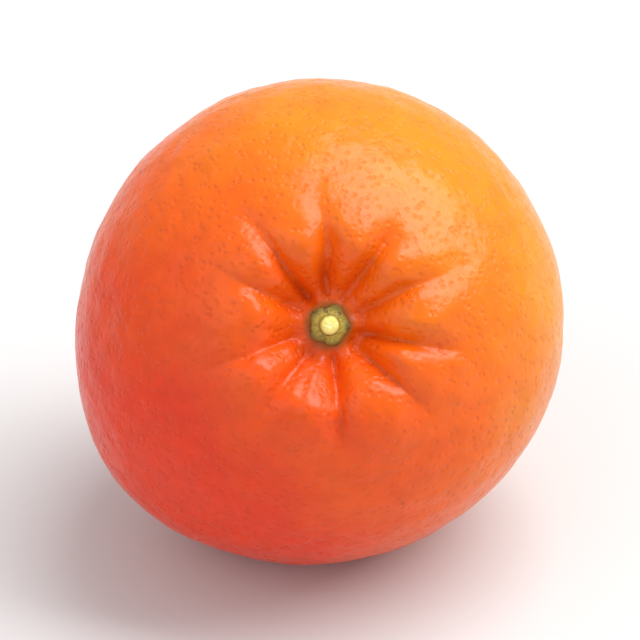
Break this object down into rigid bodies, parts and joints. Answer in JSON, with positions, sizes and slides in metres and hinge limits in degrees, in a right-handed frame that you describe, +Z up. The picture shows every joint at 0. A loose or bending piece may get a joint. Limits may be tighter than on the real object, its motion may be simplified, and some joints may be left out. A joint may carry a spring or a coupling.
{
  "type": "mandarin",
  "caption": "Whole mandarin, a small flattened citrus fruit with a puckered stem end, green calyx and cut stalk, lying on a small flat spot.",
  "frame": {"origin": "under the middle of the fruit, on the surface that it lies on", "axes": "+Z up; the stem end leans towards -Y and up, and a little towards +X; +X is to the right as the stem end is faced"},
  "size_m": [0.0684, 0.0644, 0.0663],
  "materials": {
    "peel": "satin",
    "calyx": "matte",
    "stalk": "matte"
  },
  "bodies": {
    "root": {"fruit": "peel", "calyx": "calyx", "stem_stub": "stalk"}
  },
  "joints": []
}
